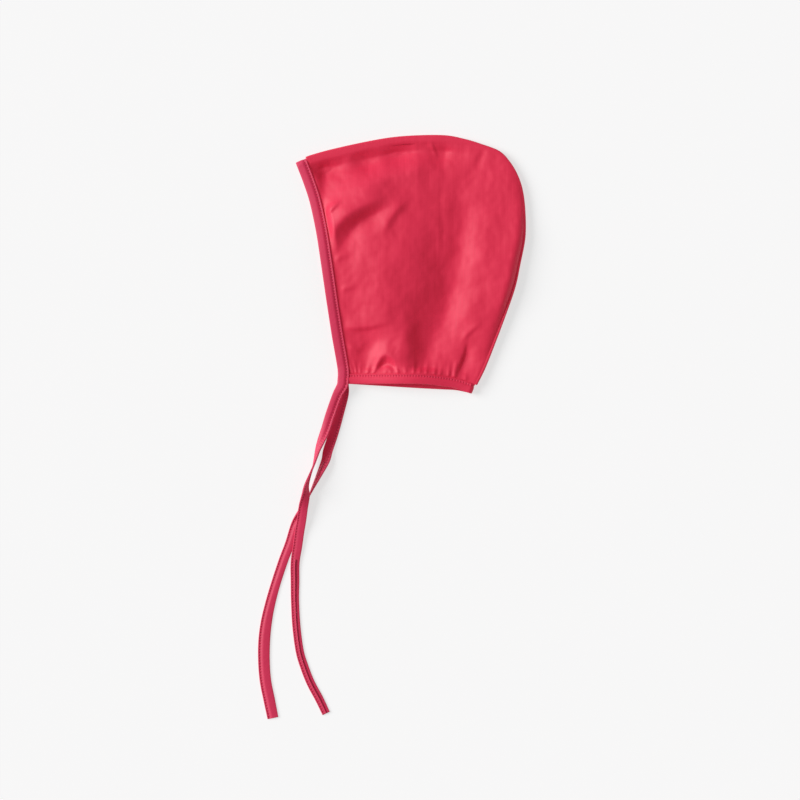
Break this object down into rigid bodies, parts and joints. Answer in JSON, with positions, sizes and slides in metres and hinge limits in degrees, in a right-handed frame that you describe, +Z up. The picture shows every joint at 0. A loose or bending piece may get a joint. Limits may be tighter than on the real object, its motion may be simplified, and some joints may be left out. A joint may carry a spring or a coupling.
{
  "type": "baby bonnet",
  "caption": "Baby bonnet of woven cotton lying flat on its side, with a gathered neck edge and bound edges that run on as ties.",
  "frame": {"origin": "middle of the underside, on the surface that the bonnet lies on", "axes": "+X from the face opening to the back of the head, +Y from the neck to the crown, +Z up out of the surface"},
  "size_m": [0.2002, 0.4374, 0.0187],
  "materials": {
    "panel_cotton": "plain woven cotton, soft sheen",
    "binding_cotton": "folded cotton strip, pressed",
    "neck_binding_cotton": "folded cotton strip, pressed",
    "tie_cotton": "folded and stitched cotton strip"
  },
  "bodies": {
    "root": {"side_panel_upper": "panel_cotton", "side_panel_lower": "panel_cotton", "face_binding": "binding_cotton", "neck_binding": "neck_binding_cotton", "tie_over": "tie_cotton", "tie_under": "tie_cotton"}
  },
  "joints": []
}
